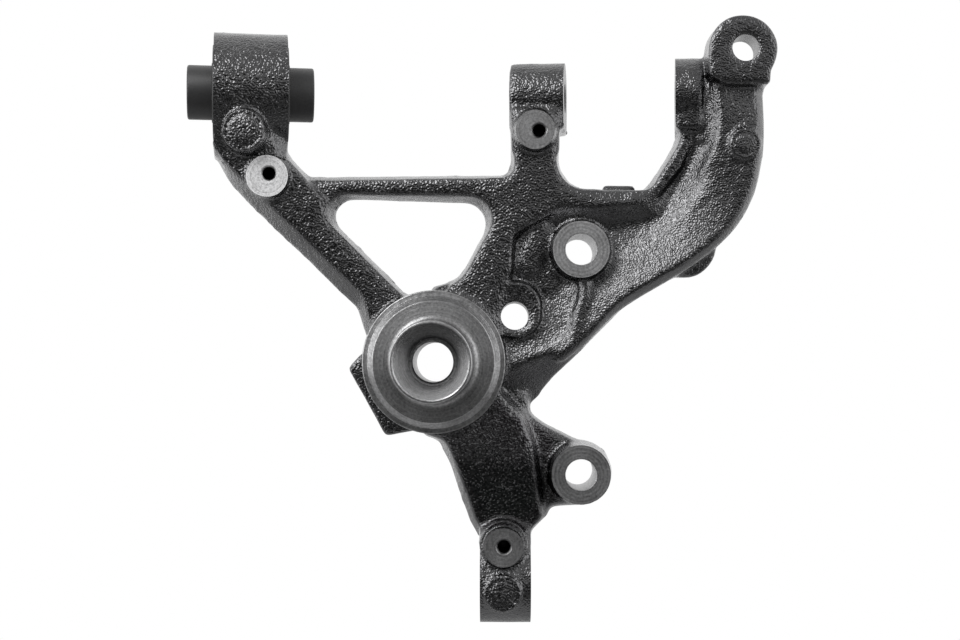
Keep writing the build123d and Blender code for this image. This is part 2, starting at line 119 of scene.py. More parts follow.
def merged_copy(node):
    """Points in mm and triangles of a CAD node. Its loose triangles share corners in the copy."""
    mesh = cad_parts[node].data
    mesh.calc_loop_triangles()
    points = np.round(read(mesh.vertices, "co", 3) / MM, 4)
    merged, index = np.unique(points, axis=0, return_inverse=True)
    return merged, index.ravel()[read(mesh.loop_triangles, "vertices", 3, np.int32)]


def distance_field(points, triangles):
    """Distance in mm from each grid point to a closed skin, true within six cells of it."""
    grid = openvdb.FloatGrid.createLevelSetFromPolygons(
        points=points.astype(np.float64), triangles=triangles.astype(np.uint32),
        transform=openvdb.createLinearTransform(voxelSize=VOXEL), halfWidth=6.0)
    dense = np.zeros(HIGH_CELL - LOW_CELL, np.float32)
    grid.copyToArray(dense, ijk=tuple(LOW_CELL.tolist()))
    return dense


def inside_share():
    """Share of the grid that lies inside the iron."""
    return round(float((field < 0).mean()), 4)


field = distance_field(*merged_copy("knuckle_casting"))
print("field", field.shape, "inside share", inside_share())

# %% [markdown]
# Simple shapes have simple distances. A point's distance to a round rod is its distance to the axis
# less the radius, or the distance past the rod's end, whichever is larger. The smaller of two
# distances is the union of two shapes, and a smooth minimum puts a fillet where they meet. These
# few functions are the founder's sticks, rings and wax.

# %% Distances to simple shapes
lines = [(np.arange(n) * VOXEL + low).astype(np.float32) for n, low in zip(field.shape, LOW_CELL * VOXEL)]
X, Y, Z = np.meshgrid(*lines, indexing="ij")


def rod(x, z, radius, start, stop):
    """Distance to a round rod along Y: the larger of how far out and how far past its ends."""
    return np.maximum(np.hypot(X - x, Z - z) - radius, np.abs(Y - (start + stop) / 2) - (stop - start) / 2)


def link_rod(axis, radius, start, stop):
    """Distance to a round rod along a link axis, from start to stop along it from its point."""
    x, y, z = axis.point
    c, s = math.cos(math.radians(axis.turn)), math.sin(math.radians(axis.turn))
    along = (X - x) * c + (Y - y) * s
    across = (Y - y) * c - (X - x) * s
    past = np.abs(along - (start + stop) / 2) - (stop - start) / 2
    return np.maximum(np.hypot(across, Z - z) - radius, past)


def ring(x, z, radius, depth, thickness):
    """Distance to a bead that lies in a circle round an axis along Y."""
    return np.hypot(np.hypot(X - x, Z - z) - radius, Y - depth) - thickness


def bead(path, thickness):
    """Distance to a rounded ridge along a chain of straight stretches: the nearest stretch counts."""
    path = np.asarray(path, np.float32)
    nearest = np.full(X.shape, 1e3, np.float32)
    for a, b in zip(path[:-1], path[1:]):
        span = b - a
        t = sum((g - start) * step for g, start, step in zip((X, Y, Z), a, span)) / (span ** 2).sum()
        t = np.clip(t, 0.0, 1.0)
        away = np.sqrt(sum((g - start - t * step) ** 2 for g, start, step in zip((X, Y, Z), a, span)))
        np.minimum(nearest, away - thickness, out=nearest)
    return nearest


def block(low, high):
    """Distance to a box between two corners: the largest of the distances to its sides."""
    middle, half = (np.array(low) + high) / 2, (np.array(high) - low) / 2
    return np.maximum.reduce([np.abs(g - c) - h for g, c, h in zip((X, Y, Z), middle, half)])


def join(a, b, reach):
    """Union of two fields with a fillet of about the reach where they meet."""
    share = np.clip(0.5 + 0.5 * (b - a) / reach, 0.0, 1.0)
    return b * (1.0 - share) + a * share - reach * share * (1.0 - share)


print("grid of", X.size, "points")

# %% [markdown]
# The founder leaves stock where a face will be milled later, and casts the bosses solid. So before
# the blur the holes are filled and the bosses grow a little longer. After it, sharp cutters take
# that stock away, and only the machined faces end in crisp edges.

# %% Add the machining stock
STOCK = 3.0
stock = [rod(b.x, b.z, b.radius, FACE_Y - STOCK, FACE_Y + 2.0) for b in BOSSES.values()]
stock += [rod(b.x, b.z, b.hole_radius + 2.5, FACE_Y, min(b.hole_end, 30.0)) for b in BOSSES.values()]
stock += [
    rod(SENSOR.x, SENSOR.z, SENSOR.radius + 1.5, 7.5, 27.0),
    rod(TOP_LUG.x, TOP_LUG.z, TOP_LUG.radius + 1.5, -4.0, 8.0),
    rod(0, 0, 27.0, 4.5, 29.0),                                     # the hub's column
    link_rod(EYE, 24.1, -EYE_HALF - STOCK, EYE_HALF + STOCK),
    link_rod(CLEVIS, 14.1, -EAR_1[0] - 4.0, -EAR_1[0] + STOCK),     # first ear's face, then its hole
    link_rod(CLEVIS, 8.0, -EAR_1[1] + 2.0, -EAR_1[0]),
    link_rod(CLEVIS, 15.2, EAR_2[0] - STOCK, EAR_2[0] + 4.0),       # second ear's face, then its hole
    link_rod(CLEVIS, 8.0, EAR_2[0], EAR_2[1] - 2.0),
    link_rod(FOOT, 16.5, -FOOT_HALF - STOCK, FOOT_HALF + STOCK),
]
for lump in stock:
    np.minimum(field, lump, out=field)
print("stock added, inside share", inside_share())

# %% [markdown]
# The casting has soft ridges where the CAD model has plain planes: on the wall of the pocket beside
# the upper calliper boss, down the web below that boss, and up the long arm beside the clevis. A
# bead follows each of them, and a block raises the pocket's floor. They are added to the field,
# because a ridge laid on top as a piece of its own would show a seam.

# %% Ridges and the pocket floor
RIDGES = {
    # points (x, y, z) along the ridge, and its half thickness
    "pocket wall": ([(32.2, 5.9, 58.0), (30.6, 5.9, 52.0), (30.4, 5.9, 44.0), (30.4, 6.0, 37.0)], 1.2),
    "web": ([(60.5, 8.3, 32.5), (60.8, 7.3, 26.5), (58.2, 7.0, 18.8), (56.2, 6.6, 8.0),
             (50.5, 7.4, 2.8)], 3.0),
    "long arm": ([(113.9, 2.2, 110.1), (114.7, 2.4, 105.8), (115.9, 2.1, 94.6), (114.4, 2.6, 86.7),
                  (111.7, 3.3, 79.7), (108.3, 5.2, 73.9)], 3.5),
}
POCKET_FLOOR = (30.5, 9.7, 28.0), (50.0, 14.0, 58.0)
for path, thickness in RIDGES.values():
    np.minimum(field, bead(path, thickness), out=field)
np.minimum(field, block(*POCKET_FLOOR), out=field)
print("ridges added, inside share", inside_share())

# %% [markdown]
# Two slopes finish the long arm: a ramp beside the clevis's second ear, and a bank under the raised
# rail along the arm's upper side. A plane's distance is how far the point lies in front of it along
# Y, divided by the length of its normal so that it counts in true millimetres. The bank is what
# lies behind four such planes, with their meeting edges rounded, and a fillet joins it to the arm.

# %% Ramp and bank
RAMP_X, RAMP_Y, RAMP_SLOPE = 115.2, -0.3, 0.50
RAMP_TO_TRUE = 0.89                                # one over the length of the ramp's normal
BANK_X, BANK_Z = 72.0, 62.3
BANK_SIDES = [
    # depth y at (BANK_X, BANK_Z), and its change along x and along z
    (3.6, -0.08, 0.34), (4.4, 0.0, -0.75), (1.4, -0.28, 0.0), (-0.6, 0.42, 0.0),
]
ramp = (RAMP_Y + (RAMP_X - X) * RAMP_SLOPE - Y) * RAMP_TO_TRUE
np.minimum(field, np.maximum(ramp, block((105.0, -0.4, 88.0), (116.0, 9.0, 111.0))), out=field)
bank = None
for depth, by_x, by_z in BANK_SIDES:
    side = (depth + (X - BANK_X) * by_x + (Z - BANK_Z) * by_z - Y) / math.sqrt(1 + by_x ** 2 + by_z ** 2)
    bank = side if bank is None else -join(-bank, -side, 1.6)
field = join(field, np.maximum(bank, block((48.0, 2.5, 55.0), (95.0, 12.0, 69.0))), 2.4)
print("ramp and bank added, inside share", inside_share())

# %% [markdown]
# A Gaussian blur replaces each value by a weighted mean of its neighbours. On a flat face that
# changes nothing, and at a corner it rounds the surface by about the blur's size, so one blur gives
# every fillet and every round. Hand-packed sand is never quite even either: blurred noise gives the
# skin shallow lumps, from a seeded generator so that each run makes the same casting.

# %% Round the casting
CAST_ROUND = 0.85
LUMP_SIZE, LUMP_HEIGHT = 2.6, 0.05
OUTWARD = 0.10                                     # makes up for what the blur takes off outer corners
rng = np.random.default_rng(7)


def blurred(values, sigma):
    """Gaussian blur along each axis in turn: a weighted mean of the neighbours."""
    reach = int(math.ceil(3 * sigma / VOXEL))
    steps = np.arange(-reach, reach + 1)
    weights = np.exp(-0.5 * (steps * VOXEL / sigma) ** 2)
    weights /= weights.sum()
    for axis in range(3):
        total = np.zeros_like(values)
        for step, weight in zip(steps.tolist(), weights):
            total += np.roll(values, step, axis) * np.float32(weight)
        values = total
    return values


def lumps(size):
    """Seeded noise with lumps about size mm across and a spread of 1."""
    made = blurred(rng.standard_normal(field.shape).astype(np.float32), size)
    return made / made.std()


smooth = blurred(field, CAST_ROUND)
smooth += lumps(LUMP_SIZE) * LUMP_HEIGHT - OUTWARD
print("rounded by", CAST_ROUND, "mm")

# %% [markdown]
# Foundries put their marks on small round pads with a raised collar. Here the pads stay bare. They
# come after the blur, because their edges are finer than it. Where the two halves of the mould
# meet, a little iron creeps into the gap: the flash. It is a thin line of small burrs at one depth,
# strongest where the noise is high. Last, a box a tenth of a millimetre inside the CAD box trims
# whatever the blur or the lumps pushed out of it.

# %% Pads, collars and flash
PADS = {
    # place (x, z), depth y of the pad's face, radius
    "eye": (-74.6, 91.3, -6.4, 6.0),
    "foot": (27.6, -92.1, 0.1, 5.0),
    "long_arm": (123.5, 86.5, -3.1, 3.8),
}
PAD_EDGE, FILLET = 0.3, 0.4
PARTING_Y, FLASH_WIDTH, FLASH_HEIGHT = 17.0, 0.9, 0.4
for x, z, face, radius in PADS.values():
    pad = rod(x, z, radius - PAD_EDGE, face + PAD_EDGE, face + 5.0) - PAD_EDGE
    collar = ring(x, z, radius + 1.6, face + 0.7, 0.75)
    groove = ring(x, z, radius + 0.65, face - 0.1, 0.8)
    smooth = join(smooth, pad, FILLET)
    smooth = join(smooth, collar, FILLET)
    smooth = np.maximum(smooth, -groove)
boss_collar = ring(27.9, -72.6, 8.9, 2.6, 0.8)     # round the lower shield boss
smooth = join(smooth, boss_collar, 0.5)
near_parting = np.exp(-((Y - PARTING_Y) / FLASH_WIDTH) ** 2)
flash = near_parting * np.clip(lumps(1.2) * 0.22 - 0.12, 0.0, FLASH_HEIGHT)
smooth -= flash.astype(np.float32)
inner_box = np.array(cad_box) * 1000.0 + np.array([[0.1], [-0.1]])
smooth = np.maximum(smooth, block(*inner_box))
print("flash up to", round(float(flash.max()), 2), "mm high")

# %% [markdown]
# The skin is where the field is zero. The field is handed back to the grid library, which lays
# triangles and quads along that surface and uses fewer of them where it is flat. Quads are split,
# because a Boolean works most surely on triangles.

# %% Skin of the casting
CLIP, FLATTEN = 4.0, 0.03
coat = bpy.data.materials.new("black_coated_casting")
cut_metal = bpy.data.materials.new("machined_face")
CASTING_FINISHES = coat, cut_metal
CUT = CASTING_FINISHES.index(cut_metal)


def mesh_object(name, points, faces, finishes=()):
    """Object from an array of points in mm and an array of faces with equal numbers of corners."""
    data = bpy.data.meshes.new(name)
    faces = np.asarray(faces)
    data.vertices.add(len(points))
    data.vertices.foreach_set("co", (np.asarray(points, np.float32) * MM).ravel())
    data.loops.add(faces.size)
    data.loops.foreach_set("vertex_index", faces.ravel().astype(np.int32))
    data.polygons.add(len(faces))
    data.polygons.foreach_set("loop_start", np.arange(len(faces), dtype=np.int32) * faces.shape[1])
    data.update(calc_edges=True)
    data.validate()
    for finish in finishes:
        data.materials.append(finish)
    made = bpy.data.objects.new(name, data)
    bpy.context.scene.collection.objects.link(made)
    return made


grid = openvdb.FloatGrid(CLIP)
grid.transform = openvdb.createLinearTransform(voxelSize=VOXEL)
grid.copyFromArray(np.clip(smooth, -CLIP, CLIP), ijk=tuple(LOW_CELL.tolist()))
points, triangles, quads = grid.convertToPolygons(isovalue=0.0, adaptivity=FLATTEN)
quads = quads[:, ::-1]
faces = np.concatenate([triangles[:, ::-1], quads[:, [0, 1, 2]], quads[:, [0, 2, 3]]])
casting = mesh_object("casting_skin", points, faces, CASTING_FINISHES)
print("skin of", len(points), "points and", len(faces), "triangles")

# %% [markdown]
# A milling cutter leaves a flat face with a crisp rim, and a drill leaves a clean hole. Both spin,
# so each tool is a closed surface of revolution: a profile of (radius, height) points carried round
# an axis. The bush and the stub axle are turned parts and come from the same function.

# %% Surfaces of revolution


def lathe(profile, steps, point, turn):
    """Points and quads of a surface of revolution about an axis through the point, turned from X:
    place = point + height * axis + radius * (cos t * side + sin t * up)."""
    yaw = math.radians(turn)
    axis = np.array([math.cos(yaw), math.sin(yaw), 0.0])
    side = np.array([-math.sin(yaw), math.cos(yaw), 0.0])
    up = np.array([0.0, 0.0, 1.0])
    t = np.linspace(0, 2 * math.pi, steps, endpoint=False)
    spokes = np.cos(t)[:, None] * side + np.sin(t)[:, None] * up
    radius, height = np.asarray(profile, float).T[:, :, None, None]
    places = np.asarray(point, float) + height * axis + radius * spokes
    i, j = np.meshgrid(np.arange(len(profile) - 1), np.arange(steps), indexing="ij")
    after = (j + 1) % steps
    quads = np.stack([i * steps + j, (i + 1) * steps + j, (i + 1) * steps + after, i * steps + after], -1)
    return places.reshape(-1, 3), quads.reshape(-1, 4)


def turned(name, profile, finishes, steps, point=(0, 0, 0), turn=90.0):
    """Lathe surface as an object in the last of its finishes. Points that coincide are merged."""
    made = mesh_object(name, *lathe(profile, steps, point, turn), finishes)
    work = bmesh.new()
    work.from_mesh(made.data)
    bmesh.ops.remove_doubles(work, verts=work.verts, dist=1e-7)
    bmesh.ops.recalc_face_normals(work, faces=work.faces)
    work.to_mesh(made.data)
    work.free()
    last = np.full(len(made.data.polygons), len(finishes) - 1, np.int32)
    made.data.polygons.foreach_set("material_index", last)
    return made


def plug(start, stop, radius):
    """Profile of a plain cylinder from start to stop along its axis."""
    return [(0, start), (radius, start), (radius, stop), (0, stop)]


def closed(profile):
    """A profile that comes back to its first point."""
    return profile + [profile[0]]


def arc(centre_radius, centre_height, radius, start, stop, count):
    """Profile points on a circle from one angle to another, in degrees."""
    angles = np.radians(np.linspace(start, stop, count))
    return [(centre_radius + radius * math.cos(a), centre_height + radius * math.sin(a)) for a in angles]


print("profile of a link drill:", plug(-20, 20, LINK_HOLE))

# %% [markdown]
# Each boss is milled by a cutter a little wider than itself and then drilled. A countersink at the
# hole's mouth takes the burr off. The eye, the foot and the two clevis ears are milled along their
# own link axes. Every tool is longer than its cut, so that no two surfaces coincide.

# %% Mills and drills
tools = []


def tool(name, profile, steps, point=(0, 0, 0), turn=90.0):
    """Add a tool whose cut shows bare metal."""
    tools.append(turned(name, profile, CASTING_FINISHES, steps, point, turn))


MILL_REACH, MILL_OVER = 9.0, 1.9                   # how far a mill reaches out, and past its boss's side
SINK_Y = -1.0                                      # where a countersink begins, in front of the face
TAP_SINK, BOLT_SINK = (4.3, 0.8), (7.4, 0.2)       # its radius there, and the depth where it ends
DRILL_TIP, THROUGH = 1.4, 60.0
for name, boss in BOSSES.items():
    tapped = name in TAPPED
    x, z = TAPPED[name] if tapped else (boss.x, boss.z)
    wide, sunk = TAP_SINK if tapped else BOLT_SINK
    end, tip = (boss.hole_end, DRILL_TIP) if tapped else (THROUGH, 0.0)
    bore = boss.hole_radius
    drill = [(0, SINK_Y), (wide, SINK_Y), (bore, sunk), (bore, end), (0, end + tip)]
    mill = plug(FACE_Y - MILL_REACH, FACE_Y, boss.radius + MILL_OVER)
    tool("mill_" + name, mill, 72, (boss.x, 0, boss.z))
    tool("drill_" + name, drill, 64, (x, 0, z))
tool("drill_sensor", plug(-20, 60, SENSOR.radius), 64, (SENSOR.x, 0, SENSOR.z))
tool("drill_top_lug", plug(-20, 30, TOP_LUG.radius), 64, (TOP_LUG.x, 0, TOP_LUG.z))
tool("clear_hub", plug(-40, 7.0, 28.3), 128)
for side in (-1, 1):
    tool("mill_eye", plug(*sorted((side * EYE_HALF, side * 24.0)), 26.5), 96, *EYE)
    tool("mill_foot", plug(*sorted((side * FOOT_HALF, side * 20.0)), 19.0), 96, *FOOT)
tool("bore_eye", plug(-40, 40, EYE_BORE), 128, *EYE)
tool("drill_foot", plug(-20, 20, LINK_HOLE), 64, *FOOT)
tool("mill_ear_1", plug(-EAR_1[0], -14.0, 16.6), 96, *CLEVIS)
tool("mill_ear_2", plug(14.0, EAR_2[0], 18.0), 96, *CLEVIS)
tool("drill_clevis", plug(-60, 34.0, LINK_HOLE), 64, *CLEVIS)
tool("bore_hub", plug(-4.2, 60, HUB_BORE), 128)
print(len(tools), "tools")

# %% [markdown]
# The Boolean modifier takes each tool's shape out of the casting. The faces it leaves keep the
# tool's own material number, so the bare metal starts exactly at the cut edge. The solver for
# closed meshes is used, because it is fast enough for two dozen cuts in a fine mesh.

# %% Machine the casting


def boolean(target, other, operation):
    """Apply one Boolean to the target and delete the other object."""
    step = target.modifiers.new("step", "BOOLEAN")
    step.solver = "MANIFOLD"
    step.operation = operation
    step.object = other
    result = bpy.data.meshes.new_from_object(target.evaluated_get(bpy.context.evaluated_depsgraph_get()))
    target.modifiers.clear()
    old, target.data = target.data, result
    bpy.data.meshes.remove(old)
    bpy.data.meshes.remove(other.data)


for cutter in tools:
    boolean(casting, cutter, "DIFFERENCE")
print("machined,", len(casting.data.polygons), "faces")

# %% [markdown]
# The stub axle and its shoulder are turned in one clamping. Their profile is a chain of straight
# cuts and small radii, carried round the wheel axis. It runs on inside the casting, where it isn't
# seen, so that the union has iron to hold on to.

# %% Turn the stub axle
RIM, ROOT = 0.9, 2.9                               # radii at the stub's end and at its root
hub_profile = (
    [(HUB_BORE, 27.5), (HUB_BORE, -3.3), (8.7, -4.0), (9.4, -4.0)]
    + [(9.7, -4.5), (14.2, -25.9), (14.5, -26.35), (15.0, STUB_TIP)]
    + arc(STUB_RADIUS - RIM, STUB_TIP + RIM, RIM, -90, 0, 6)
    + [(STUB_RADIUS, -20.0), (STUB_RADIUS, -10.0), (STUB_RADIUS, -ROOT)]
    + arc(STUB_RADIUS + ROOT, -ROOT, ROOT, 180, 90, 9)
    + [(24.1, 0.0), (24.35, 0.12), (24.6, 0.4), (26.3, 2.15), (26.6, 2.4), (26.9, 2.45), (28.2, 2.5)]
    + [(28.5, 2.65), (28.65, 3.0), (28.65, 9.5), (27.0, 11.0), (25.5, 11.5), (25.5, 27.0), (25.0, 27.5)]
)
hub = turned("hub_turning", closed(hub_profile), CASTING_FINISHES, 256)
boolean(casting, hub, "UNION")
print("with hub,", len(casting.data.polygons), "faces")

# %% [markdown]
# A cast edge is soft and a machined one is crisp. The whole mesh is shaded smooth, and an edge is
# marked sharp where two machined faces meet at a clear angle, or where a cut ends in the raw skin.
# Marks cost no extra faces, as a bevel on every rim would. Each edge is listed by the two faces that
# use it, so sorting the list by edge puts those faces side by side and their angle can be taken.

# %% Crisp rims
CRISP_TURN, RIM_COSINE = 24.0, 0.94
data = casting.data
finish = read(data.polygons, "material_index", kind=np.int32)
normal = read(data.polygons, "normal", 3)
face_of_corner = np.repeat(np.arange(len(data.polygons)), read(data.polygons, "loop_total", kind=np.int32))
edge_of_corner = read(data.loops, "edge_index", kind=np.int32)
order = np.argsort(edge_of_corner, kind="stable")
edge_in_order, face_in_order = edge_of_corner[order], face_of_corner[order]
pair = np.flatnonzero(edge_in_order[1:] == edge_in_order[:-1])
one, other = face_in_order[pair], face_in_order[pair + 1]
cosine = (normal[one] * normal[other]).sum(1)
both_cut = (finish[one] == CUT) & (finish[other] == CUT)
rim = finish[one] != finish[other]
sharp = np.zeros(len(data.edges), bool)
sharp[edge_in_order[pair]] = (
    (both_cut & (cosine < math.cos(math.radians(CRISP_TURN)))) | (rim & (cosine < RIM_COSINE)))
data.shade_smooth()
marks = data.attributes.get("sharp_edge") or data.attributes.new("sharp_edge", "BOOLEAN", "EDGE")
marks.data.foreach_set("value", sharp)
print(int(sharp.sum()), "sharp edges")

# %% [markdown]
# A lathe and a mill leave rings round their own axis, so the machined metal has to know which cut a
# point belongs to. Each corner carries two attributes. The first, "cut", is its place across the axis
# of its boss, or across the wheel axis elsewhere, with its depth. The second is the brightness of
# that cut's metal: a level of its own on each boss face, which is painted light, and nearly black on
# the walls of the tapped holes, which is painted shade.

# %% Mark the cuts
PLAIN_TONE, HOLE_TONE, PAINTED_TAP_SHADE = 0.34, 0.30, 0.04
PAST_BOSS, HOLE_REACH, TAP_REACH = 3.0, 7.0, 2.6
centre = (read(data.polygons, "center", 3) / MM)[face_of_corner]
place = (read(data.vertices, "co", 3) / MM)[read(data.loops, "vertex_index", kind=np.int32)]


def within(places, x, z, reach):
    """Which places lie within reach of an axis along Y."""
    return np.hypot(places[:, 0] - x, places[:, 2] - z) < reach


cut = place[:, [0, 2, 1]]
tone = np.full(len(place), PLAIN_TONE, np.float32)
# Painted light: each boss face gets its own brightness, for how it catches the light.
for boss in BOSSES.values():
    on_boss = within(centre, boss.x, boss.z, boss.radius + PAST_BOSS)
    cut[on_boss, 0] = place[on_boss, 0] - boss.x
    cut[on_boss, 1] = place[on_boss, 2] - boss.z
    tone[on_boss] = boss.tone
for hole in (SENSOR, TOP_LUG):
    tone[within(centre, hole.x, hole.z, HOLE_REACH)] = HOLE_TONE
for x, z in TAPPED.values():
    # Painted shade: the walls of the tapped holes are made nearly black.
    tone[within(place, x, z, TAP_REACH)] = PAINTED_TAP_SHADE
data.attributes.new("cut", "FLOAT_VECTOR", "CORNER").data.foreach_set("vector", cut.ravel())
data.attributes.new("tone", "FLOAT", "CORNER").data.foreach_set("value", tone)
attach(casting, "root")
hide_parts("knuckle_casting")
data.calc_loop_triangles()
print("casting of", len(data.loop_triangles), "triangles")

# %% [markdown]
# The bush is pressed into the eye from the side: a thin steel shell, a ring of rubber bonded inside
# it, and a thick steel sleeve that stands out at both ends so that the bolt can clamp it. All three
# are turned shapes about the eye's axis, the same at both ends. Their edges have small radii of
# their own, so smooth shading is enough and no edge is marked.

# %% Bush pieces
SHELL_HALF, SLEEVE_HALF = 15.2, 25.5
sleeve_steel = bpy.data.materials.new("sleeve_steel")
rubber_black = bpy.data.materials.new("rubber")


def same_at_both_ends(profile):
    """The given points, then their mirror image, closed."""
    return closed(profile + [(radius, -height) for radius, height in reversed(profile)])


shell_profile = [(18.0, -SHELL_HALF), (19.1, -SHELL_HALF), (EYE_BORE, -SHELL_HALF + 0.4)]
rubber_profile = [(11.0, -15.7), (11.9, -15.7), (12.5, -15.2), (13.0, -14.4), (17.6, -14.2), (18.0, -14.0)]
sleeve_profile = [(LINK_HOLE, -SLEEVE_HALF + 0.6), (6.7, -SLEEVE_HALF), (10.2, -SLEEVE_HALF),
                  (10.75, -SLEEVE_HALF + 0.2), (11.0, -SLEEVE_HALF + 0.75)]
for name, profile, finish, node, slot in (
        ("bush_shell", shell_profile, sleeve_steel, "bush_outer_sleeve", "sleeve_steel"),
        ("bush_rubber_ring", rubber_profile, rubber_black, "bush_rubber", "rubber"),
        ("bush_sleeve", sleeve_profile, sleeve_steel, "bush_inner_sleeve", "sleeve_steel")):
    piece = turned(name, same_at_both_ends(profile), [finish], 128, *EYE)
    piece.data.shade_smooth()
    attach(piece, "root")
    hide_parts(node)
    print(name, len(piece.data.polygons), "faces")

# %% [markdown]
# A material is easier to read as an expression than as a tangle of nodes. The class below wraps one
# socket, so that ordinary arithmetic on it adds Math nodes, also where the number comes first. Any
# other node comes from one method that takes its kind, its settings and its inputs.

# %% Shader expressions


class Value:
    """One output socket of a shader tree. Arithmetic on it adds Math nodes."""

    def __init__(self, tree, socket):
        self.tree = tree
        self.socket = socket

    def node(self, kind, settings=None, inputs=None, out=0):
        """Add a node. Its settings are set first, then its inputs, as plain values or as links."""
        made = self.tree.nodes.new(kind)
        for name, setting in (settings or {}).items():
            setattr(made, name, setting)
        for name, given in (inputs or {}).items():
            if isinstance(given, Value):
                self.tree.links.new(given.socket, made.inputs[name])
            else:
                made.inputs[name].default_value = given
        return Value(self.tree, made.outputs[out])

    def math(self, operation, *operands):
        """Math node over the operands, in their order."""
        return self.node("ShaderNodeMath", {"operation": operation}, dict(enumerate(operands)))

    def __add__(self, other):
        return self.math("ADD", self, other)

    def __sub__(self, other):
        return self.math("SUBTRACT", self, other)

    def __rsub__(self, other):
        return self.math("SUBTRACT", other, self)

    def __mul__(self, other):
        return self.math("MULTIPLY", self, other)

    def __truediv__(self, other):
        return self.math("DIVIDE", self, other)

    def __rtruediv__(self, other):
        return self.math("DIVIDE", other, self)

    def __neg__(self):
        return self.math("MULTIPLY", self, -1.0)

    def __abs__(self):
        return self.math("ABSOLUTE", self)

    __radd__ = __add__
    __rmul__ = __mul__

    def at_least(self, limit):
        """The value, or the limit where the value is smaller."""
        return self.math("MAXIMUM", self, limit)

    def clamp(self):
        """The value, kept between 0 and 1."""
        return self.node("ShaderNodeClamp", {}, {0: self})

    def step(self, low, high):
        """0 below low, 1 above high, smooth between."""
        return self.node("ShaderNodeMapRange", {"interpolation_type": "SMOOTHSTEP"},
                         {"Value": self, "From Min": low, "From Max": high})

    def along(self, axis):
        """A vector's X, Y or Z."""
        return self.node("ShaderNodeSeparateXYZ", {}, {0: self}, axis)


print("shader values ready")

# %% [markdown]
# Every finish starts the same way, with one surface shader and the place on the object, so that a
# pattern stays where it is on the part. The other helpers make what all finishes need: a grey, a
# noise of a given fineness, and a relief that tilts the surface's normal without moving it.

# %% What the finishes share


def start(finish):
    """Empty a material's tree. Returns its surface shader and the place on the object."""
    finish.use_nodes = True
    tree = finish.node_tree
    tree.nodes.clear()
    output = tree.nodes.new("ShaderNodeOutputMaterial")
    shader = tree.nodes.new("ShaderNodeBsdfPrincipled")
    tree.links.new(shader.outputs["BSDF"], output.inputs["Surface"])
    return shader, Value(tree, tree.nodes.new("ShaderNodeTexCoord").outputs["Object"])


def feed(shader, **values):
    """Link values to the shader's sockets, whose names have _ for a space."""
    for name, value in values.items():
        value.tree.links.new(value.socket, shader.inputs[name.replace("_", " ")])


def grey(value, blue=1.0):
    """A grey as bright as the value, with its blue raised or lowered a little."""
    return value.node("ShaderNodeCombineColor", {}, {"Red": value, "Green": value, "Blue": value * blue})


def noise(place, scale, detail, roughness=0.5):
    """Noise between 0 and 1 with about scale lumps to the metre."""
    inputs = {"Vector": place, "Scale": scale, "Detail": detail, "Roughness": roughness}
    return place.node("ShaderNodeTexNoise", {}, inputs)


def relief(height, strength, distance):
    """Normal of a surface that is raised by the height."""
    return height.node("ShaderNodeBump", {}, {"Strength": strength, "Distance": distance, "Height": height})


print("finish helpers ready")

# %% [markdown]
# Sand leaves a pebbled skin on a casting, and the thick black coat rounds each grain off, so the
# surface looks like orange peel. Noise of four sizes makes that relief: grains a little under a
# millimetre across, a finer peel, a slow swell and a fine roughness. The grains are weaker on the
# long arm, and the lower arm is calmer, with only scattered specks; its colour is also darker, which
# is painted shade. The coat shines like metal, so each grain breaks the reflections into small glints.
# Walls that look to the side get a brighter colour than the face, which is a painted sheen.

# %% Black coat
shader, place = start(coat)
grains = noise(place, 1250.0, 0.0)
peel = noise(place, 1600.0, 0.0)
fine = noise(place, 2600.0, 1.0)
swell = noise(place, 420.0, 0.0)
patches = noise(place, 45.0, 2.0, 0.6)
specks = noise(place, 1300.0, 0.0).step(0.66, 0.78)
rough_sand = 1.0 - (place.along("X") + noise(place, 30.0, 1.0) * 0.03).step(0.04, 0.08)
down = -place.along("Z")
lower_arm = down.step(0.032, 0.046) * (1.0 - down.step(0.070, 0.078))
# The calm lower arm has fewer grains, and its colour is darkened there as painted shade.
calm_and_painted_shade = lower_arm * (1.0 - place.along("X").step(0.044, 0.048))
pebbles = grains * (rough_sand * 0.75 + 0.15) * (1.0 - calm_and_painted_shade * 0.6) + peel * (0.6 - rough_sand * 0.4)
height = pebbles + swell * 0.5 + fine * 0.1 + specks * calm_and_painted_shade * 0.6
facing = place.node("ShaderNodeNewGeometry", {}, {}, "Normal").along("Y")
# Painted sheen: walls that look to the side get a brighter colour than the face.
wall = 1.0 - abs(facing).step(0.10, 0.50)
# Base colour: raised on side walls as painted sheen, lowered on the lower arm as painted shade.
black = (patches * 0.05 + fine * 0.03 + 0.095) * (wall * 1.3 + 1.0) * (1.0 - calm_and_painted_shade * 0.35)
feed(shader, Base_Color=grey(black, 1.02), Roughness=patches * 0.10 + fine * 0.06 + 0.08,
     Normal=relief(height, 1.0, 0.00042))
shader.inputs["Metallic"].default_value = 1.0
print("coat of", len(coat.node_tree.nodes), "nodes")

# %% [markdown]
# A turned or milled face is bare iron under a thin film of oil. Fine rings run round the cut's own
# axis, so a noise with two coordinates, radius and depth, is enough: all points on one ring get the
# same value. Each cut's brightness comes in as painted light. The conical recess in the stub's end is
# turned more coarsely; its colour is doubled as a painted highlight, and its upper side is painted
# shade, almost black. The hub's face is a little crowned: a slope in the bump gives its sheen that
# turn without a change of shape.

# %% Machined metal
shader, place = start(cut_metal)
cut_place = place.node("ShaderNodeAttribute", {"attribute_name": "cut"}, {}, "Vector")
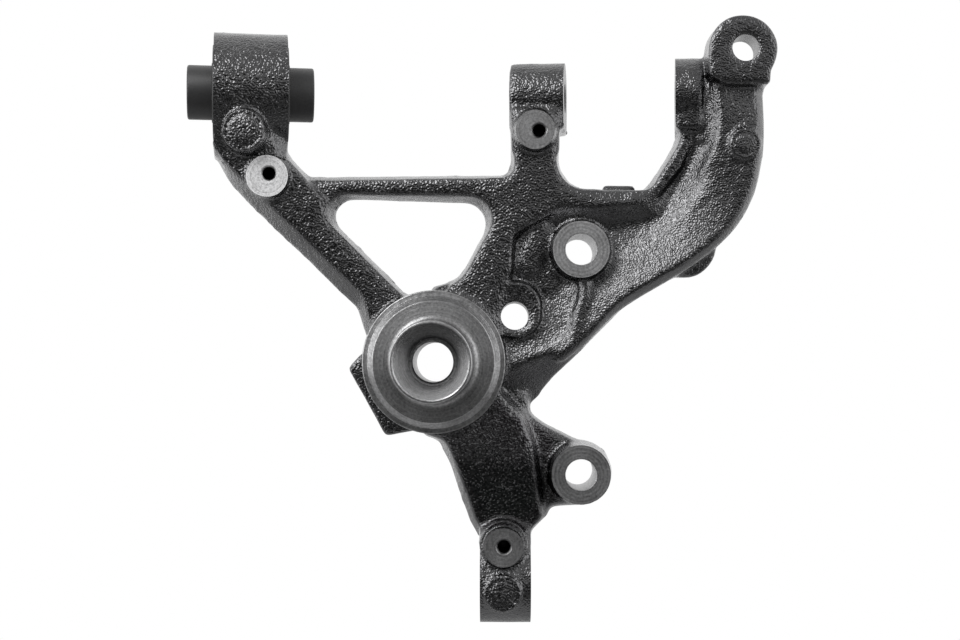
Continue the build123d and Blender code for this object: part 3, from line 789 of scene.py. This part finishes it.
# Each cut's brightness: painted light on the bosses and painted shade in the tapped holes.
metal = place.node("ShaderNodeAttribute", {"attribute_name": "tone"}, {}, "Fac")
across = place.node("ShaderNodeVectorMath", {"operation": "MULTIPLY"}, {0: cut_place, 1: (1.0, 1.0, 0.0)})
radius = place.node("ShaderNodeVectorMath", {"operation": "LENGTH"}, {0: across}, "Value")
depth = cut_place.along("Z")
ring_place = place.node("ShaderNodeCombineXYZ", {}, {"X": radius, "Y": depth})
rings = place.node("ShaderNodeTexNoise", {"noise_dimensions": "2D"},
                   {"Vector": ring_place, "Scale": 1.3, "Detail": 3.0, "Roughness": 0.75})
stains = noise(place, 90.0, 3.0, 0.6)
speck = noise(place, 1000.0, 2.0, 0.6)
# Painted shade: the recess's upper side is made almost black.
painted_top_shade = (cut_place.along("Y") / radius).step(-0.25, 0.75)
recess = (-depth).step(3.0, 5.0) * (15.2 - radius).step(0.0, 0.8)
bright = metal * (rings * 1.1 + stains * 0.5 + speck * 1.5 - 0.55)
crown = (radius - STUB_RADIUS).at_least(0.0) * 1.1
height = rings * (recess * 2.0 + 0.8) + speck * 0.6 - crown
# Base colour: doubled in the recess as a painted highlight, darkened on its upper side as painted shade.
feed(shader, Base_Color=grey(bright * (recess + 1.0) * (1.0 - recess * painted_top_shade * 0.88), 1.01),
     Roughness=stains * 0.2 + rings * 0.12 - recess * 0.16 + 0.22,
     Metallic=1.0 - metal.step(0.36, 0.70) * 0.75 - recess * 0.45,
     Normal=relief(height, 0.35, 0.0002))
print("machined metal of", len(cut_metal.node_tree.nodes), "nodes")

# %% [markdown]
# The bush's steel has a dark, even finish against rust: mostly a dull grey with faint stains and a
# slight grain. The rubber is duller and darker still. Both need little more than two sizes of
# noise, but even a plain finish varies a little, or it looks like plastic.

# %% Sleeve steel and rubber
shader, place = start(sleeve_steel)
stains = noise(place, 130.0, 4.0, 0.6)
grain = noise(place, 1500.0, 2.0, 0.6)
feed(shader, Base_Color=grey(stains * 0.03 + grain * 0.02 + 0.022, 1.02), Roughness=stains * 0.2 + 0.34,
     Normal=relief(grain, 0.25, 0.0001))
shader.inputs["Metallic"].default_value = 0.3
shader, place = start(rubber_black)
grain = noise(place, 1100.0, 2.0, 0.6)
feed(shader, Base_Color=grey(grain * 0.012 + 0.012), Roughness=grain * 0.15 + 0.62,
     Normal=relief(grain, 0.3, 0.0002))
print("four finishes")

# %% [markdown]
# A black part on white is lit by its surroundings more than by lamps: its walls mirror the white
# paper beside and behind it, and its face mirrors the darker room in front. The world gives each
# direction its own level: a ceiling that is brighter to the left, a panel at each side, a weak glow
# from the ground, and a pale wall behind. The camera sees plain white instead, and reflections see
# the wall behind as white too.

# %% Room of light
CEILING, CEILING_LEFT, GROUND, LEFT_PANEL, RIGHT_PANEL = 0.46, 0.34, 0.17, 2.3, 1.2
DARK, BACK_WALL = 0.02, 0.9
world = bpy.data.worlds.new("studio")
bpy.context.scene.world = world
world.use_nodes = True
tree = world.node_tree
tree.nodes.clear()
output = tree.nodes.new("ShaderNodeOutputWorld")
ray = Value(tree, tree.nodes.new("ShaderNodeTexCoord").outputs["Generated"])
right, away, up = ray.along("X"), ray.along("Y"), ray.along("Z")
above = up.step(-0.08, 0.30)
below = (-up).step(0.20, 0.60)
left = (-right).step(0.05, 0.60)
left_side = (-right).step(0.66, 0.92) * (up + 0.5).step(0.2, 0.6) * (1.0 - up.step(0.30, 0.65) * 0.8)
right_side = right.step(0.45, 0.85) * (up + 0.6).step(0.1, 0.6)
front = (above * (left * CEILING_LEFT + CEILING) + below * GROUND
         + left_side * LEFT_PANEL + right_side * RIGHT_PANEL + DARK)
behind = away.step(0.02, 0.35) * (1.0 - (-up).step(0.50, 0.85) * 0.8)
level = front * (1.0 - behind) + behind * BACK_WALL
room = ray.node("ShaderNodeBackground", {}, {"Color": grey(level), "Strength": 1.0})
white = ray.node("ShaderNodeBackground", {}, {"Color": (1.0, 1.0, 1.0, 1.0), "Strength": 1.0})
seen, glossy, through = (ray.node("ShaderNodeLightPath", {}, {}, kind)
                         for kind in ("Is Camera Ray", "Is Glossy Ray", "Is Transmission Ray"))
backdrop = (seen + (glossy + through) * behind).clamp()
sky = ray.node("ShaderNodeMixShader", {}, {0: backdrop, 1: room, 2: white})
tree.links.new(sky.socket, output.inputs["Surface"])
print("room of", len(tree.nodes), "nodes")

# %% [markdown]
# One broad lamp from the upper left gives the faces their direction. Lamps and camera are placed in
# metres, Blender's own unit. The floor is pale paper well under the part. Seen directly it glows
# plain white like the backdrop, but for light and reflections it is ordinary matt paper, so it adds
# nothing to the part but a soft bounce.

# %% Key lamp and floor paper


def soft_lamp(name, place, target, size, watts):
    """Square area lamp that looks at a point."""
    lamp = bpy.data.lights.new(name, "AREA")
    lamp.shape = "SQUARE"
    lamp.size = size
    lamp.energy = watts
    made = bpy.data.objects.new(name, lamp)
    made.location = place
    made.rotation_euler = (Vector(target) - Vector(place)).to_track_quat("-Z", "Y").to_euler()
    bpy.context.scene.collection.objects.link(made)
    return made


key = soft_lamp("key", (-0.60, -0.70, 0.85), (0.02, 0.0, 0.02), size=0.60, watts=6.0)
floor_paper = bpy.data.materials.new("pale_floor")
shader, place = start(floor_paper)
shader.inputs["Base Color"].default_value = (0.5, 0.5, 0.5, 1.0)
shader.inputs["Roughness"].default_value = 0.9
matt = Value(place.tree, shader.outputs["BSDF"])
glow = place.node("ShaderNodeEmission", {}, {"Color": (1.0, 1.0, 1.0, 1.0), "Strength": 1.0})
seen = place.node("ShaderNodeLightPath", {}, {}, "Is Camera Ray")
paper = place.node("ShaderNodeMixShader", {}, {0: seen, 1: matt, 2: glow})
tree = floor_paper.node_tree
tree.links.new(paper.socket, tree.nodes["Material Output"].inputs["Surface"])
FLOOR_HALF, FLOOR_NEAR, FLOOR_FAR, FLOOR_Z = 900, -120, 1500, -330
floor_points = [(-FLOOR_HALF, FLOOR_NEAR, FLOOR_Z), (FLOOR_HALF, FLOOR_NEAR, FLOOR_Z),
                (FLOOR_HALF, FLOOR_FAR, FLOOR_Z), (-FLOOR_HALF, FLOOR_FAR, FLOOR_Z)]
floor = mesh_object("floor", floor_points, [[0, 1, 2, 3]], [floor_paper])
print("lamp of", key.data.energy, "W, floor at", FLOOR_Z, "mm")

# %% [markdown]
# The camera looks at the outboard side, in the direction of the wheel axis. It stays level and
# square to the part, and the lens is shifted instead of tilted, so that upright edges stay upright.

# %% Camera
camera = bpy.data.cameras.new("camera")
camera.lens = 59.14
camera.sensor_width = 36.0
camera.shift_x = -0.0198
camera.shift_y = 0.0427
camera.clip_start = 0.05
camera.clip_end = 20.0
viewer = bpy.data.objects.new("camera", camera)
viewer.location = (0.02606, -0.626, 0.00044)
viewer.rotation_euler = (math.pi / 2, 0.0, 0.0)
bpy.context.scene.collection.objects.link(viewer)
bpy.context.scene.camera = viewer
bpy.context.scene.view_settings.view_transform = "Standard"
print("camera at", [round(c, 3) for c in viewer.location], "m")
